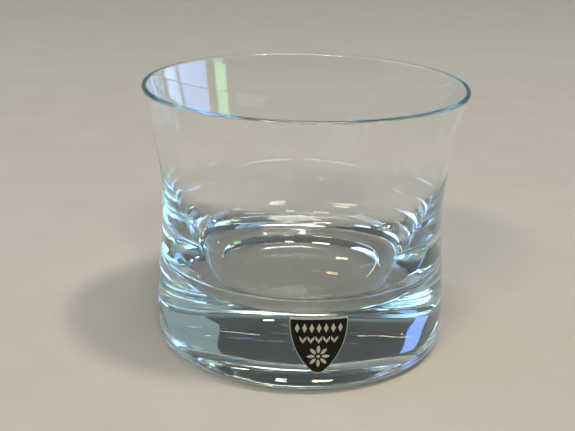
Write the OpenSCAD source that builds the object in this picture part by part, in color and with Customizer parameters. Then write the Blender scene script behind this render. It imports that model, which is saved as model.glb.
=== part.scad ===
// Shot glass with a waisted wall, a thick clear base and a small shield label.
//
// One piece of pressed glass stands on a flat foot ring. Its label is a stuck-on
// laminate of three layers: adhesive, metal foil and a dark print on top.
// The origin is the centre of the foot, on the surface the glass stands on, and
// +Z is the glass's axis. The label faces -Y.
//
// The glass is one closed outline, turned about Z. Every stretch of the outline
// is a circle arc or a straight line, and each arc meets the next one tangentially.

/* [Rim] */
// Outside diameter of the rim
rim_d = 60; // [58:0.5:64]
// Overall height
height = 49.5; // [46:0.5:54]
// Thickness of the rounded lip, and of the wall just below it
lip_t = 0.9; // [0.7:0.1:1.4]

/* [Outer wall] */
// Diameter at the waist, the narrowest place
waist_d = 53.24; // [52:0.02:55]
// Height of the waist
waist_z = 26; // [23:0.5:29]
// Diameter at the belly, the widest place of the base
belly_d = 55.54; // [55.3:0.02:57]
// Height of the belly
belly_z = 6; // [4.5:0.5:7.5]
// Radius of the rounded bottom edge
edge_r = 2.7; // [1.5:0.1:3.5]

/* [Bowl] */
// Height of the bowl's floor, which is the thickness of the base
floor_z = 11.8; // [9:0.2:15]
// Height down to which the wall stays as thin as the lip
thin_z = 35.5; // [32:0.5:40]
// Radius of the long arc that thickens the wall towards the base
bowl_side_r = 132; // [115:1:160]
// Radius of the bowl's corner
bowl_corner_r = 7.6; // [5:0.2:10]

/* [Underside] */
// Outside diameter of the recess under the base
recess_d = 40; // [34:0.5:44]
// Diameter of the recess's flat ceiling
recess_flat_d = 22.8; // [16:0.2:28]
// Depth of the recess
recess_depth = 1; // [0.6:0.1:1.4]
// Radius that blends the recess into the foot ring
foot_blend_r = 2.2; // [0.6:0.1:3]

/* [Label outline] */
// Turn of the label's middle from -Y towards +X, in degrees
label_turn = 7.4; // [0:0.2:359]
// Height of the label's top edge
label_top_z = 14.7; // [14.2:0.1:16]
// Greatest width of the label
label_w = 10.02; // [9.6:0.02:11]
// Radius of the label's curved sides
label_side_r = 12.5; // [12:0.1:13]
// Distance from the label's top edge down to its greatest width
label_shoulder = 0.8; // [0.2:0.1:1]
// Radius of the label's rounded tip
label_tip_r = 1.9; // [1.6:0.1:2.4]

/* [Label layers] */
// Thickness of the adhesive
adhesive_t = 0.05; // [0.03:0.01:0.08]
// Thickness of the foil
foil_t = 0.08; // [0.05:0.01:0.12]
// Thickness of the print
print_t = 0.03; // [0.02:0.01:0.05]
// Foil left bare along the label's top edge
bare_top = 0.3; // [0.2:0.05:0.6]
// Foil left bare along the label's sides
bare_side = 0.12; // [0.1:0.02:0.3]

/* [Label ornament] */
// Width of each lozenge in the upper row
lozenge_w = 0.84; // [0.5:0.02:1]
// Height of each lozenge in the upper row
lozenge_h = 1.7; // [1.2:0.05:1.9]
// Spacing of the lozenges
lozenge_pitch = 1.24; // [1.15:0.01:1.26]
// Number of lozenges
lozenge_n = 7; // [3:2:7]
// Width of each chevron in the lower row
chevron_w = 1.15; // [0.8:0.05:1.25]
// Height of each chevron in the lower row
chevron_h = 1.35; // [1:0.05:1.5]
// Width of a chevron's stroke, measured upright
chevron_stroke = 0.6; // [0.4:0.05:0.8]
// Spacing of the chevrons
chevron_pitch = 1.36; // [1.3:0.01:1.4]
// Number of chevrons
chevron_n = 5; // [3:2:5]
// Length of each petal of the rosette
petal_l = 1.5; // [1.3:0.05:1.6]
// Width of each petal of the rosette
petal_w = 0.62; // [0.4:0.02:0.66]
// Number of petals
petal_n = 8; // [5:1:8]
// Radius of the gap in the middle of the rosette
rosette_gap_r = 0.55; // [0.52:0.01:0.7]
// Radius of the dot in the rosette's middle
rosette_dot_r = 0.3; // [0.2:0.02:0.4]

/* [Hidden] */
$fn = 360;

// Greatest distance between an arc of the outline and the straight pieces that draw it
chord_gap = 0.004;

lip_r = lip_t / 2;
rim_r = rim_d / 2;
waist_r = waist_d / 2;
belly_r = belly_d / 2;
recess_r = recess_d / 2;
recess_flat_r = recess_flat_d / 2;

// Middle of the lip's half-round edge
lip_c = [rim_r - lip_r, height - lip_r];

// The flare is an arc with its centre level with the waist. It touches the lip's circle.
flare_rise = lip_c.y - waist_z;
flare_out = lip_c.x - waist_r;
flare_r = (flare_rise^2 + flare_out^2 - lip_r^2) / (2 * (flare_out + lip_r));
flare_c = [waist_r + flare_r, waist_z];
lip_a = bearing(lip_c, flare_c);

// The belly is an arc with its centre level with the widest place. It runs into the flare.
flare_drop = 2 * flare_r * (belly_r - waist_r) / (waist_z - belly_z);
belly_arc_r = flare_r * (waist_z - belly_z - flare_drop) / flare_drop;
belly_c = [belly_r - belly_arc_r, belly_z];
belly_top_z = waist_z - flare_drop;
belly_top_a = bearing(belly_c, flare_c);

// The bottom edge is rounded by a circle that touches the belly's arc and the foot.
edge_c = [belly_c.x + sqrt((belly_arc_r - edge_r)^2 - (belly_z - edge_r)^2), edge_r];
edge_a = bearing(belly_c, edge_c);
edge_top_z = belly_c.y + belly_arc_r * sin(edge_a);

// The inner wall keeps the lip's thickness down to thin_p, then follows the long arc.
inner_flare_r = flare_r + lip_t;
thin_p = [flare_c.x - sqrt(inner_flare_r^2 - (thin_z - waist_z)^2), thin_z];
thin_a = bearing(thin_p, flare_c);
bowl_side_c = thin_p - bowl_side_r * [cos(thin_a), sin(thin_a)];

// The bowl's corner touches the long arc and the floor.
corner_z = floor_z + bowl_corner_r;
corner_c = [
    bowl_side_c.x + sqrt((bowl_side_r - bowl_corner_r)^2 - (corner_z - bowl_side_c.y)^2),
    corner_z
];
corner_a = bearing(bowl_side_c, corner_c);

// The recess's edge is an arc, blended into the foot ring by a smaller one.
recess_run = recess_r - recess_flat_r;
recess_arc_r = (recess_run^2 + recess_depth^2) / (2 * recess_depth);
recess_arc_c = [recess_flat_r, recess_depth - recess_arc_r];
blend_rise = foot_blend_r - recess_arc_c.y;
blend_c = [
    recess_flat_r + sqrt((recess_arc_r + foot_blend_r)^2 - blend_rise^2),
    foot_blend_r
];
blend_a = bearing(blend_c, recess_arc_c);

// The label is drawn flat with its top edge on y = 0 and its tip pointing down.
label_c = [label_w / 2 - label_side_r, -label_shoulder];
label_tip_y = label_c.y - sqrt((label_side_r - label_tip_r)^2 - label_c.x^2);
upper_row_y = -1.85;
lower_row_y = -3.95;
rosette_y = -7.05;

// Direction from a to b, in degrees from +X
function bearing(a, b) = atan2(b.y - a.y, b.x - a.x);

// Points along a circle arc, close enough together to stay within chord_gap of it. The
// last point is left out, because the next stretch of the outline starts there.
function arc(c, r, from, to) =
    let (steps = ceil(abs(to - from) / (2 * acos(1 - chord_gap / r))))
    [
        for (i = [0:steps - 1])
            let (a = from + (to - from) * i / steps)
            c + r * [cos(a), sin(a)]
    ];

// ---- Glass -------------------------------------------------------------------

// Half of the glass's section, from the recess out to the foot, up and over the lip,
// and down the inside to the bowl's floor
outline = concat(
    [[0, recess_depth]],
    arc(recess_arc_c, recess_arc_r, 90, blend_a + 180),
    arc(blend_c, foot_blend_r, blend_a, -90),
    [[blend_c.x, 0]],
    arc(edge_c, edge_r, -90, edge_a),
    arc(belly_c, belly_arc_r, edge_a, belly_top_a),
    arc(flare_c, flare_r, belly_top_a + 180, lip_a + 180),
    arc(lip_c, lip_r, lip_a, lip_a + 180),
    arc(flare_c, inner_flare_r, lip_a + 180, thin_a + 180),
    arc(bowl_side_c, bowl_side_r, thin_a, corner_a),
    arc(corner_c, bowl_corner_r, corner_a, -90),
    [[corner_c.x, floor_z], [0, floor_z]]
);

module glass() {
    color([0.74, 0.88, 0.90, 0.45])
        rotate_extrude()
            polygon(outline);
}

// ---- Label -------------------------------------------------------------------

// Shield with curved sides and a rounded tip, drawn inside the label by the given margins
module shield(side_margin = 0, top_margin = 0) {
    side_r = label_side_r - side_margin;
    tip_c = [0, label_tip_y];
    tip_top_y = label_c.y + side_r * sin(bearing(label_c, tip_c));
    intersection() {
        translate([-label_w / 2, tip_top_y])
            square([label_w, -top_margin - tip_top_y]);
        translate(label_c)
            circle(side_r);
        translate([-label_c.x, label_c.y])
            circle(side_r);
    }
    translate(tip_c)
        circle(label_tip_r - side_margin);
}

// Tall four-sided lozenge about its middle
module lozenge(w, h) {
    polygon([[-w / 2, 0], [0, -h / 2], [w / 2, 0], [0, h / 2]]);
}

// Chevron pointing down, about its middle
module chevron(w, h, stroke) {
    polygon([
        [-w / 2, h / 2],
        [-w / 2, h / 2 - stroke],
        [0, -h / 2],
        [w / 2, h / 2 - stroke],
        [w / 2, h / 2],
        [0, stroke - h / 2]
    ]);
}

// Petal with two curved sides, starting at the origin and pointing along +Y
module petal(l, w) {
    side_r = (l^2 + w^2) / (4 * w);
    intersection_for (side = [-1, 1])
        translate([side * (side_r - w / 2), l / 2])
            circle(side_r);
}

// Copies of a shape in a level row about the middle
module row(n, pitch) {
    for (i = [0:n - 1])
        translate([(i - (n - 1) / 2) * pitch, 0])
            children();
}

// Everything left out of the print, so that the foil shows there
module ornament() {
    translate([0, upper_row_y])
        row(lozenge_n, lozenge_pitch)
            lozenge(lozenge_w, lozenge_h);
    translate([0, lower_row_y])
        row(chevron_n, chevron_pitch)
            chevron(chevron_w, chevron_h, chevron_stroke);
    translate([0, rosette_y]) {
        circle(rosette_dot_r);
        for (i = [0:petal_n - 1])
            rotate(i * 360 / petal_n)
                translate([0, rosette_gap_r])
                    petal(petal_l, petal_w);
    }
}

// A flat outline wrapped onto the belly as a skin between two distances from the glass
module wrap(from, to) {
    rotate(label_turn)
        intersection() {
            rotate_extrude()
                intersection() {
                    difference() {
                        translate(belly_c)
                            circle(belly_arc_r + to);
                        translate(belly_c)
                            circle(belly_arc_r + from);
                    }
                    translate([0, edge_top_z])
                        square([rim_r, belly_top_z - edge_top_z]);
                }
            translate([0, 0, label_top_z])
                rotate([90, 0, 0])
                    linear_extrude(rim_r)
                        children();
        }
}

module label_adhesive() {
    color([0.80, 0.78, 0.70])
        wrap(0, adhesive_t)
            shield();
}

module label_foil() {
    color([0.82, 0.78, 0.62])
        wrap(adhesive_t, adhesive_t + foil_t)
            shield();
}

module label_print() {
    color([0.12, 0.13, 0.11])
        wrap(adhesive_t + foil_t, adhesive_t + foil_t + print_t)
            difference() {
                shield(bare_side, bare_top);
                ornament();
            }
}

glass();
label_adhesive();
label_foil();
label_print();
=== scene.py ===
"""A clear shot glass with a small shield label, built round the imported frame.

Lengths are in millimetres until a mesh, light or camera is made. The glass is one outline
turned about Z, and the label is three thin layers wrapped onto its belly. Sizes that the
frame doesn't give repeat the design's driving dimensions.
"""

import math

import bmesh
import bpy
from mathutils import Matrix, Vector
from mathutils.geometry import tessellate_polygon


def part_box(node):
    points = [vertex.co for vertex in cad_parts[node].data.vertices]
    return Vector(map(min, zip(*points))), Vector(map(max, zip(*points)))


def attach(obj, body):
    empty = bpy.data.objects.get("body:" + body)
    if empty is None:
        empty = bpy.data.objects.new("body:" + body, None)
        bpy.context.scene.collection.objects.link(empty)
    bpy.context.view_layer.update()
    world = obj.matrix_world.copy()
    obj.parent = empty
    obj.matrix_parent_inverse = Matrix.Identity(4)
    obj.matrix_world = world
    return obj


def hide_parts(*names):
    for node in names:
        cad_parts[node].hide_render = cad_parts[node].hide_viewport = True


MM = 0.001

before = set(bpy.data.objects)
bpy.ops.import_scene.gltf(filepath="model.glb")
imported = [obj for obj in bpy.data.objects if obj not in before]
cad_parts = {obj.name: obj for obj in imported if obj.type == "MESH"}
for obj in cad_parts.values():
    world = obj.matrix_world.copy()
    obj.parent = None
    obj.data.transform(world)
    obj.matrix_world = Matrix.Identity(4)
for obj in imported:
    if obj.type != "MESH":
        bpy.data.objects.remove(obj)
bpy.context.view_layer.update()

# ---- Driving dimensions --------------------------------------------------------------

glass_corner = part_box("glass")[1] / MM
RIM_R = glass_corner.x
HEIGHT = glass_corner.z
LIP_R = 0.45
WAIST_R = 26.62
WAIST_Z = 26.0
BELLY_R = 27.77
BELLY_Z = 6.0
EDGE_R = 2.7
FLOOR_Z = 11.8
THIN_Z = 35.5
BOWL_SIDE_R = 132.0
BOWL_CORNER_R = 7.6
RECESS_R = 20.0
RECESS_FLAT_R = 11.4
RECESS_DEPTH = 1.0
FOOT_BLEND_R = 2.2

LABEL_LOW, LABEL_HIGH = (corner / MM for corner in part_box("label_adhesive"))
LABEL_TOP_Z = LABEL_HIGH.z
LABEL_SIDE_R = 12.5
LABEL_HALF_W = 5.01
LABEL_SHOULDER = 0.8
LABEL_TIP_R = 1.9
ADHESIVE_T = 0.05
FOIL_T = 0.08
PRINT_T = 0.03
BARE_TOP = 0.3
BARE_SIDE = 0.12

LIP_C = Vector((RIM_R - LIP_R, HEIGHT - LIP_R))


def bearing(a, b):
    """Direction from a to b, in radians from +X."""
    return math.atan2(b.y - a.y, b.x - a.x)


def polar(centre, radius, angle):
    """Point at a distance and an angle from a centre."""
    return Vector((centre.x + radius * math.cos(angle), centre.y + radius * math.sin(angle)))


# ---- The section's arcs, each tangent to the next ------------------------------------

flare_rise = LIP_C.y - WAIST_Z
flare_out = LIP_C.x - WAIST_R
FLARE_R = (flare_rise**2 + flare_out**2 - LIP_R**2) / (2 * (flare_out + LIP_R))
FLARE_C = Vector((WAIST_R + FLARE_R, WAIST_Z))
LIP_A = bearing(LIP_C, FLARE_C)

flare_drop = 2 * FLARE_R * (BELLY_R - WAIST_R) / (WAIST_Z - BELLY_Z)
BELLY_ARC_R = FLARE_R * (WAIST_Z - BELLY_Z - flare_drop) / flare_drop
BELLY_C = Vector((BELLY_R - BELLY_ARC_R, BELLY_Z))
BELLY_TOP_A = bearing(BELLY_C, FLARE_C)

edge_run = math.sqrt((BELLY_ARC_R - EDGE_R) ** 2 - (BELLY_Z - EDGE_R) ** 2)
EDGE_C = Vector((BELLY_C.x + edge_run, EDGE_R))
EDGE_A = bearing(BELLY_C, EDGE_C)

INNER_FLARE_R = FLARE_R + 2 * LIP_R
thin_run = math.sqrt(INNER_FLARE_R**2 - (THIN_Z - WAIST_Z) ** 2)
THIN_P = Vector((FLARE_C.x - thin_run, THIN_Z))
THIN_A = bearing(THIN_P, FLARE_C)
BOWL_SIDE_C = polar(THIN_P, -BOWL_SIDE_R, THIN_A)

corner_z = FLOOR_Z + BOWL_CORNER_R
corner_run = math.sqrt(
    (BOWL_SIDE_R - BOWL_CORNER_R) ** 2 - (corner_z - BOWL_SIDE_C.y) ** 2
)
CORNER_C = Vector((BOWL_SIDE_C.x + corner_run, corner_z))
CORNER_A = bearing(BOWL_SIDE_C, CORNER_C)

recess_run = RECESS_R - RECESS_FLAT_R
RECESS_ARC_R = (recess_run**2 + RECESS_DEPTH**2) / (2 * RECESS_DEPTH)
RECESS_C = Vector((RECESS_FLAT_R, RECESS_DEPTH - RECESS_ARC_R))
blend_rise = FOOT_BLEND_R - RECESS_C.y
blend_run = math.sqrt((RECESS_ARC_R + FOOT_BLEND_R) ** 2 - blend_rise**2)
BLEND_C = Vector((RECESS_C.x + blend_run, FOOT_BLEND_R))
BLEND_A = bearing(BLEND_C, RECESS_C)

# ---- Mesh helpers --------------------------------------------------------------------

# Greatest distance between an arc and the straight pieces that draw it
CHORD_GAP = 0.001
# Facets once round the glass
TURN_STEPS = 288
# Greatest length of a facet on a flat stretch
FLAT_STEP = 1.5


def arc(centre, radius, start, end):
    """Points along an arc, without its last one, which starts the next stretch."""
    steps = math.ceil(abs(end - start) / (2 * math.acos(1 - CHORD_GAP / radius)))
    return [polar(centre, radius, start + (end - start) * i / steps) for i in range(steps)]


def line(start, end):
    """Points along a straight stretch, without its last one."""
    steps = math.ceil((end - start).length / FLAT_STEP)
    return [start.lerp(end, i / steps) for i in range(steps)]


def new_piece(name, mesh, node, material):
    """A shown object that stands for a CAD node and rides with the glass."""
    piece = bpy.data.objects.new(name, mesh)
    bpy.context.scene.collection.objects.link(piece)
    mesh.materials.append(material)
    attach(piece, "root")
    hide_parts(node)
    return piece


def lathe(name, outline):
    """Mesh of an outline that starts and ends on the axis, turned about Z."""
    bm = bmesh.new()
    rings = []
    for point in outline:
        if point.x < 1e-6:
            rings.append([bm.verts.new((0, 0, point.y * MM))])
            continue
        ring = []
        for i in range(TURN_STEPS):
            turn = 2 * math.pi * i / TURN_STEPS
            x = point.x * math.cos(turn)
            y = point.x * math.sin(turn)
            ring.append(bm.verts.new((x * MM, y * MM, point.y * MM)))
        rings.append(ring)
    for low, high in zip(rings, rings[1:]):
        for i in range(TURN_STEPS):
            j = (i + 1) % TURN_STEPS
            corners = [low[i % len(low)], low[j % len(low)]]
            corners += [high[j % len(high)], high[i % len(high)]]
            bm.faces.new(list(dict.fromkeys(corners)))
    bmesh.ops.recalc_face_normals(bm, faces=bm.faces)
    mesh = bpy.data.meshes.new(name)
    bm.to_mesh(mesh)
    bm.free()
    mesh.shade_smooth()
    return mesh


# ---- Material helpers ----------------------------------------------------------------


def new_material(name):
    """An empty node material and its node tree."""
    material = bpy.data.materials.new(name)
    material.use_nodes = True
    material.node_tree.nodes.clear()
    return material, material.node_tree


def add(tree, kind, **values):
    """A node with the given input values, named with underscores for spaces."""
    node = tree.nodes.new(kind)
    for key, value in values.items():
        node.inputs[key.replace("_", " ")].default_value = value
    return node


def noise(tree, scale, detail=2.0):
    """Noise in the piece's own coordinates. scale is in waves per metre."""
    place = tree.nodes.new("ShaderNodeTexCoord")
    texture = add(tree, "ShaderNodeTexNoise", Scale=scale, Detail=detail)
    tree.links.new(place.outputs["Object"], texture.inputs["Vector"])
    return texture.outputs["Fac"]


def spread(tree, value, low, high, start=0.3, end=0.7):
    """A noise value mapped onto the range from low to high."""
    node = add(tree, "ShaderNodeMapRange", From_Min=start, From_Max=end)
    node.inputs["To Min"].default_value = low
    node.inputs["To Max"].default_value = high
    tree.links.new(value, node.inputs["Value"])
    return node.outputs["Result"]


def mixed_colour(tree, value, low, high):
    """A colour between two others, by a value from 0 to 1."""
    ramp = tree.nodes.new("ShaderNodeValToRGB")
    ramp.color_ramp.elements[0].color = (*low, 1)
    ramp.color_ramp.elements[1].color = (*high, 1)
    tree.links.new(value, ramp.inputs["Fac"])
    return ramp.outputs["Color"]


def bump(tree, height, distance, strength=1.0):
    """A normal from a height field whose full range is distance, in metres."""
    node = add(tree, "ShaderNodeBump", Strength=strength, Distance=distance)
    tree.links.new(height, node.inputs["Height"])
    return node.outputs["Normal"]


def finish_material(tree, shader):
    """Joins the shader to an output node, which is returned."""
    output = tree.nodes.new("ShaderNodeOutputMaterial")
    tree.links.new(shader.outputs["BSDF"], output.inputs["Surface"])
    return output


# ---- Materials -----------------------------------------------------------------------


def glass_material():
    """Clear soda glass, a little blue-green through its depth, with faint wipe marks."""
    material, tree = new_material("clear_glass")
    shader = add(tree, "ShaderNodeBsdfPrincipled", Base_Color=(1, 1, 1, 1), IOR=1.52)
    shader.inputs["Transmission Weight"].default_value = 1.0
    smudge = spread(tree, noise(tree, 140, 5), 0.0, 0.025, 0.52, 0.8)
    tree.links.new(smudge, shader.inputs["Roughness"])
    ripple = bump(tree, noise(tree, 75, 0), 0.00004)
    tree.links.new(ripple, shader.inputs["Normal"])
    output = finish_material(tree, shader)
    depth = add(tree, "ShaderNodeVolumeAbsorption", Color=(0.35, 0.77, 0.77, 1), Density=6.0)
    tree.links.new(depth.outputs["Volume"], output.inputs["Volume"])
    return material


def adhesive_material():
    """The label's back: a milky film with fine bubbles."""
    material, tree = new_material("adhesive")
    shader = add(tree, "ShaderNodeBsdfPrincipled", Roughness=0.5)
    colour = mixed_colour(tree, noise(tree, 2500, 3), (0.42, 0.41, 0.37), (0.62, 0.6, 0.54))
    tree.links.new(colour, shader.inputs["Base Color"])
    finish_material(tree, shader)
    return material


def foil_material():
    """Pale gold foil with a fine grain."""
    material, tree = new_material("foil")
    shader = add(tree, "ShaderNodeBsdfPrincipled", Metallic=1.0)
    colour = mixed_colour(tree, noise(tree, 1800, 4), (0.5, 0.485, 0.41), (0.66, 0.645, 0.58))
    tree.links.new(colour, shader.inputs["Base Color"])
    rough = spread(tree, noise(tree, 5200, 2), 0.26, 0.44)
    tree.links.new(rough, shader.inputs["Roughness"])
    grain = bump(tree, noise(tree, 7000, 2), 0.000004)
    tree.links.new(grain, shader.inputs["Normal"])
    finish_material(tree, shader)
    return material


def print_material():
    """Near-black lacquer with a slight green cast and a soft gloss."""
    material, tree = new_material("print")
    shader = add(tree, "ShaderNodeBsdfPrincipled")
    shader.inputs["Specular IOR Level"].default_value = 0.1
    colour = mixed_colour(tree, noise(tree, 900, 4), (0.003, 0.004, 0.003), (0.007, 0.009, 0.006))
    tree.links.new(colour, shader.inputs["Base Color"])
    rough = spread(tree, noise(tree, 2400, 3), 0.22, 0.4)
    tree.links.new(rough, shader.inputs["Roughness"])
    skin = bump(tree, noise(tree, 3000, 2), 0.000003)
    tree.links.new(skin, shader.inputs["Normal"])
    finish_material(tree, shader)
    return material


def floor_material():
    """A plain pale surface, very slightly mottled."""
    material, tree = new_material("studio_floor")
    shader = add(tree, "ShaderNodeBsdfPrincipled", Roughness=0.8)
    shader.inputs["Specular IOR Level"].default_value = 0.2
    colour = mixed_colour(tree, noise(tree, 60, 3), (0.22, 0.217, 0.21), (0.25, 0.247, 0.238))
    tree.links.new(colour, shader.inputs["Base Color"])
    finish_material(tree, shader)
    return material


# ---- Glass ---------------------------------------------------------------------------


def glass_outline():
    """The section, from the recess out to the foot, over the lip and down to the floor."""
    quarter = math.pi / 2
    foot_inner = Vector((BLEND_C.x, 0))
    foot_outer = Vector((EDGE_C.x, 0))
    floor_edge = Vector((CORNER_C.x, FLOOR_Z))
    points = line(Vector((0, RECESS_DEPTH)), Vector((RECESS_FLAT_R, RECESS_DEPTH)))
    points += arc(RECESS_C, RECESS_ARC_R, quarter, BLEND_A + math.pi)
    points += arc(BLEND_C, FOOT_BLEND_R, BLEND_A, -quarter)
    points += line(foot_inner, foot_outer)
    points += arc(EDGE_C, EDGE_R, -quarter, EDGE_A)
    points += arc(BELLY_C, BELLY_ARC_R, EDGE_A, BELLY_TOP_A)
    points += arc(FLARE_C, FLARE_R, BELLY_TOP_A + math.pi, LIP_A + math.pi)
    points += arc(LIP_C, LIP_R, LIP_A, LIP_A + math.pi)
    points += arc(FLARE_C, INNER_FLARE_R, LIP_A + math.pi, THIN_A + math.pi)
    points += arc(BOWL_SIDE_C, BOWL_SIDE_R, THIN_A, CORNER_A)
    points += arc(CORNER_C, BOWL_CORNER_R, CORNER_A, -quarter)
    points += line(floor_edge, Vector((0, FLOOR_Z)))
    points.append(Vector((0, FLOOR_Z)))
    return points


glass_mesh = lathe("Glass", glass_outline())
new_piece("Glass", glass_mesh, "glass", glass_material())

# ---- Label ---------------------------------------------------------------------------

# The label is drawn flat with its top edge on y = 0 and its tip pointing down.
LABEL_SIDE_C = Vector((LABEL_HALF_W - LABEL_SIDE_R, -LABEL_SHOULDER))
tip_drop = math.sqrt((LABEL_SIDE_R - LABEL_TIP_R) ** 2 - LABEL_SIDE_C.x**2)
LABEL_TIP_C = Vector((0, LABEL_SIDE_C.y - tip_drop))
label_middle = (LABEL_LOW + LABEL_HIGH) / 2
LABEL_TURN = math.atan2(label_middle.x, -label_middle.y)

UPPER_ROW_Y = -1.85
LOZENGE_W = 0.84
LOZENGE_H = 1.7
LOZENGE_PITCH = 1.24
LOZENGE_N = 7
LOWER_ROW_Y = -3.95
CHEVRON_W = 1.15
CHEVRON_H = 1.35
CHEVRON_STROKE = 0.6
CHEVRON_PITCH = 1.36
CHEVRON_N = 5
ROSETTE_Y = -7.05
PETAL_L = 1.5
PETAL_W = 0.62
PETAL_N = 8
ROSETTE_GAP_R = 0.55
ROSETTE_DOT_R = 0.3
# Greatest width and height of the label's facets, so that they follow the belly
LABEL_GRID = 0.35
# How far the adhesive sinks into the glass, so that no air is left between them
EMBED = 0.01
# Radius of the layers' upper edges
FILM_EDGE_R = 0.01
FOIL_EDGE_R = 0.02


def moved(points, x=0.0, y=0.0, turn=0.0):
    """Points turned about the origin and then shifted."""
    spin = Matrix.Rotation(turn, 2)
    return [spin @ point + Vector((x, y)) for point in points]


def shield(side_margin, top_margin):
    """Loop round a shield with curved sides and a rounded tip, inside the margins."""
    side_r = LABEL_SIDE_R - side_margin
    tip_r = LABEL_TIP_R - side_margin
    low_a = bearing(LABEL_SIDE_C, LABEL_TIP_C)
    top_a = math.asin((-top_margin - LABEL_SIDE_C.y) / side_r)
    right = arc(LABEL_SIDE_C, side_r, low_a, top_a)
    right.append(polar(LABEL_SIDE_C, side_r, top_a))
    left = [Vector((-point.x, point.y)) for point in reversed(right)]
    return right + left[:-1] + arc(LABEL_TIP_C, tip_r, -math.pi - low_a, low_a)


def lozenge():
    """Tall four-sided lozenge about its middle."""
    x, y = LOZENGE_W / 2, LOZENGE_H / 2
    return [Vector(p) for p in ((-x, 0), (0, -y), (x, 0), (0, y))]


def chevron():
    """Chevron pointing down, about its middle."""
    x, y, stroke = CHEVRON_W / 2, CHEVRON_H / 2, CHEVRON_STROKE
    lower = [(-x, y), (-x, y - stroke), (0, -y), (x, y - stroke)]
    return [Vector(p) for p in lower + [(x, y), (0, stroke - y)]]


def petal():
    """Petal with two curved sides, starting at the origin and pointing along +Y."""
    side_r = (PETAL_L**2 + PETAL_W**2) / (4 * PETAL_W)
    half_a = math.asin(PETAL_L / 2 / side_r)
    side_c = Vector((PETAL_W / 2 - side_r, PETAL_L / 2))
    right = arc(side_c, side_r, -half_a, half_a)
    return right + [Vector((-point.x, PETAL_L - point.y)) for point in right]


def circle(radius):
    """Closed round loop about the origin."""
    return arc(Vector((0, 0)), radius, 0, 2 * math.pi)


def ornament():
    """Loops of everything that is left out of the print, so that the foil shows there."""
    loops = []
    for i in range(LOZENGE_N):
        x = (i - (LOZENGE_N - 1) / 2) * LOZENGE_PITCH
        loops.append(moved(lozenge(), x, UPPER_ROW_Y))
    for i in range(CHEVRON_N):
        x = (i - (CHEVRON_N - 1) / 2) * CHEVRON_PITCH
        loops.append(moved(chevron(), x, LOWER_ROW_Y))
    for i in range(PETAL_N):
        turn = 2 * math.pi * i / PETAL_N
        lifted = moved(petal(), y=ROSETTE_GAP_R)
        loops.append(moved(lifted, y=ROSETTE_Y, turn=turn))
    loops.append(moved(circle(ROSETTE_DOT_R), y=ROSETTE_Y))
    return loops


def wrapped(x, y, height):
    """Place of a flat point on the belly, at a height above the glass, in metres."""
    rise = math.asin((LABEL_TOP_Z + y - BELLY_C.y) / BELLY_ARC_R)
    skin = polar(BELLY_C, BELLY_ARC_R + height, rise)
    turn = LABEL_TURN + math.asin(x / skin.x)
    return Vector((skin.x * math.sin(turn), -skin.x * math.cos(turn), skin.y)) * MM


def layer(name, loops, low, high, edge_r):
    """Mesh of a flat sheet with holes, wrapped onto the glass between two heights."""
    bm = bmesh.new()
    points = [point for loop in loops for point in loop]
    floor = [bm.verts.new((p.x, p.y, low)) for p in points]
    roof = [bm.verts.new((p.x, p.y, high)) for p in points]
    flat_loops = [[p.to_3d() for p in loop] for loop in loops]
    for a, b, c in tessellate_polygon(flat_loops):
        bm.faces.new((floor[a], floor[b], floor[c]))
        bm.faces.new((roof[c], roof[b], roof[a]))
    first = 0
    rim_edges = []
    for loop in loops:
        for i in range(len(loop)):
            j = (i + 1) % len(loop)
            corners = (floor[first + i], floor[first + j], roof[first + j], roof[first + i])
            bm.faces.new(corners)
            rim_edges.append(bm.edges.get((roof[first + i], roof[first + j])))
        first += len(loop)
    bmesh.ops.recalc_face_normals(bm, faces=bm.faces)
    bmesh.ops.bevel(bm, geom=rim_edges, offset=edge_r, segments=2, affect="EDGES", profile=0.5)
    for axis in range(2):
        low_end = min(point[axis] for point in points)
        high_end = max(point[axis] for point in points)
        cuts = math.ceil((high_end - low_end) / LABEL_GRID)
        for i in range(1, cuts):
            place = Vector((0, 0, 0))
            place[axis] = low_end + (high_end - low_end) * i / cuts
            normal = Vector((1 - axis, axis, 0))
            geometry = bm.verts[:] + bm.edges[:] + bm.faces[:]
            bmesh.ops.bisect_plane(bm, geom=geometry, plane_co=place, plane_no=normal)
    for vert in bm.verts:
        vert.co = wrapped(*vert.co)
    mesh = bpy.data.meshes.new(name)
    bm.to_mesh(mesh)
    bm.free()
    mesh.shade_smooth()
    mesh.set_sharp_from_angle(angle=math.radians(35))
    return mesh


FOIL_LOW = ADHESIVE_T
PRINT_LOW = FOIL_LOW + FOIL_T
outer = shield(0, 0)
inner = shield(BARE_SIDE, BARE_TOP)
adhesive_mesh = layer("Label_adhesive", [outer], -EMBED, FOIL_LOW, FILM_EDGE_R)
foil_mesh = layer("Label_foil", [outer], FOIL_LOW, PRINT_LOW, FOIL_EDGE_R)
print_loops = [inner, *ornament()]
print_mesh = layer("Label_print", print_loops, PRINT_LOW, PRINT_LOW + PRINT_T, FILM_EDGE_R)
new_piece("Label_adhesive", adhesive_mesh, "label_adhesive", adhesive_material())
new_piece("Label_foil", foil_mesh, "label_foil", foil_material())
new_piece("Label_print", print_mesh, "label_print", print_material())

# ---- Stage ---------------------------------------------------------------------------

FLOOR_HALF = 1.6
# A hair of air under the foot lets the base reflect light inside, as it does on a table
AIR_GAP = 0.00008
HORIZON_TOP = 0.18
SKY_FROM = 0.34

CAMERA_PLACE = Vector((0, -0.18167, 0.08745))
# How far the camera looks down and to the left, and how far it is rolled, in degrees
CAMERA_DOWN = 19.46
CAMERA_LEFT = 2.22
CAMERA_ROLL = 0.96
CAMERA_LENS = 62.6
CAMERA_SHIFT = 0.0391


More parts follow.
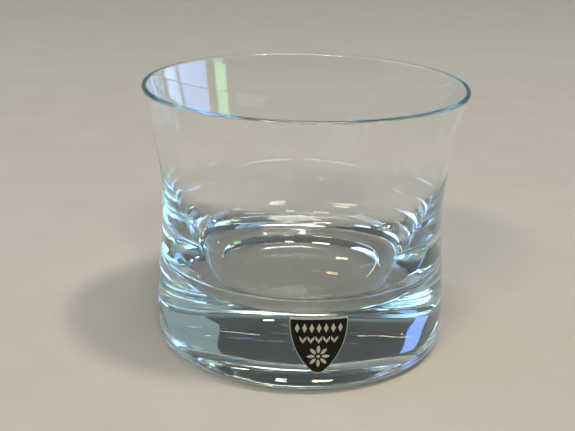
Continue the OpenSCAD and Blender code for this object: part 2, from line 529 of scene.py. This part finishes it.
def make_floor():
    """Plain pale floor under the glass."""
    mesh = bpy.data.meshes.new("Floor")
    corners = [(-1, -1), (1, -1), (1, 1), (-1, 1)]
    points = [(x * FLOOR_HALF, y * FLOOR_HALF, -AIR_GAP) for x, y in corners]
    mesh.from_pydata(points, [], [(0, 1, 2, 3)])
    mesh.materials.append(floor_material())
    floor = bpy.data.objects.new("Floor", mesh)
    bpy.context.scene.collection.objects.link(floor)


def softbox(name, place, width, height, glow, colour):
    """A rectangular soft light turned towards the glass. glow is its surface's brightness."""
    data = bpy.data.lights.new(name, "AREA")
    data.shape = "RECTANGLE"
    data.size = width
    data.size_y = height
    data.energy = glow * math.pi * width * height
    data.color = colour
    light = bpy.data.objects.new(name, data)
    light.location = place
    aim = Vector((0, 0, HEIGHT / 2 * MM)) - light.location
    light.rotation_euler = aim.to_track_quat("-Z", "Y").to_euler()
    light.visible_camera = False
    bpy.context.scene.collection.objects.link(light)


def make_world(horizon, sky):
    """Dim light from all round, paler near the floor than higher up.

    The background turns from one to the other between HORIZON_TOP and SKY_FROM, which
    are sines of the angle above the horizon.
    """
    world = bpy.data.worlds.new("Studio")
    bpy.context.scene.world = world
    world.use_nodes = True
    tree = world.node_tree
    background = tree.nodes["Background"]
    place = tree.nodes.new("ShaderNodeTexCoord")
    split = tree.nodes.new("ShaderNodeSeparateXYZ")
    tree.links.new(place.outputs["Generated"], split.inputs["Vector"])
    colour = mixed_colour(tree, split.outputs["Z"], horizon, sky)
    ramp = colour.node.color_ramp
    ramp.elements[0].position = HORIZON_TOP
    ramp.elements[1].position = SKY_FROM
    tree.links.new(colour, background.inputs["Color"])


def make_camera():
    """A camera with a normal lens, close in front of the glass and a little above its rim."""
    data = bpy.data.cameras.new("Camera")
    data.sensor_fit = "HORIZONTAL"
    data.sensor_width = 36
    data.lens = CAMERA_LENS
    data.shift_x = CAMERA_SHIFT
    data.clip_start = 0.01
    camera = bpy.data.objects.new("Camera", data)
    turn = Matrix.Rotation(math.radians(CAMERA_LEFT), 4, "Z")
    tilt = Matrix.Rotation(math.radians(90 - CAMERA_DOWN), 4, "X")
    roll = Matrix.Rotation(math.radians(CAMERA_ROLL), 4, "Z")
    camera.matrix_world = Matrix.Translation(CAMERA_PLACE) @ turn @ tilt @ roll
    bpy.context.scene.collection.objects.link(camera)
    bpy.context.scene.camera = camera


make_floor()

# Each light has its place in metres, width, height, brightness and colour. The windows
# and cards are cool, and the lamps are warm.
softbox("Window_right", (1.48, 0.26, 0.29), 0.75, 0.55, 5, (0.25, 0.47, 1))
softbox("Window_strip", (1.42, -0.45, 0.26), 0.26, 0.46, 4, (0.4, 1, 0.5))
softbox("Window_corner", (1.26, 0.88, 0.24), 0.4, 0.42, 5, (0.3, 0.55, 1))
softbox("Window_left", (-1.37, -0.05, 1.0), 1.3, 0.5, 6, (0.4, 0.62, 1))
softbox("Window_back", (-0.94, 1.12, 0.65), 0.27, 0.66, 1.2, (0.22, 0.38, 1))
softbox("Card_back", (0.87, 0.96, 0.94), 1.0, 1.05, 0.26, (0.69, 0.93, 1))
softbox("Top", (0.16, -0.36, 1.7), 0.9, 0.9, 9, (1, 0.92, 0.8))
softbox("Key", (0.55, -0.24, 1.64), 0.2, 0.2, 175, (1, 0.88, 0.68))
softbox("Lamp_left", (-0.5, -1.15, 1.1), 0.45, 0.16, 80, (1, 0.8, 0.5))
softbox("Lamp_right", (0.3, -1.25, 1.1), 0.2, 0.2, 80, (1, 0.9, 0.74))
softbox("Lamp_back", (0.18, 1.46, 0.64), 0.065, 0.035, 14, (1, 0.78, 0.45))
make_world((0.26, 0.34, 0.36), (0.05, 0.057, 0.06))
make_camera()

bpy.context.scene.view_settings.view_transform = "Standard"

# Light runs down inside the wall from the lip, bouncing many times before it leaves
cycles = bpy.context.scene.cycles
cycles.max_bounces = 128
cycles.transmission_bounces = 128
cycles.glossy_bounces = 128
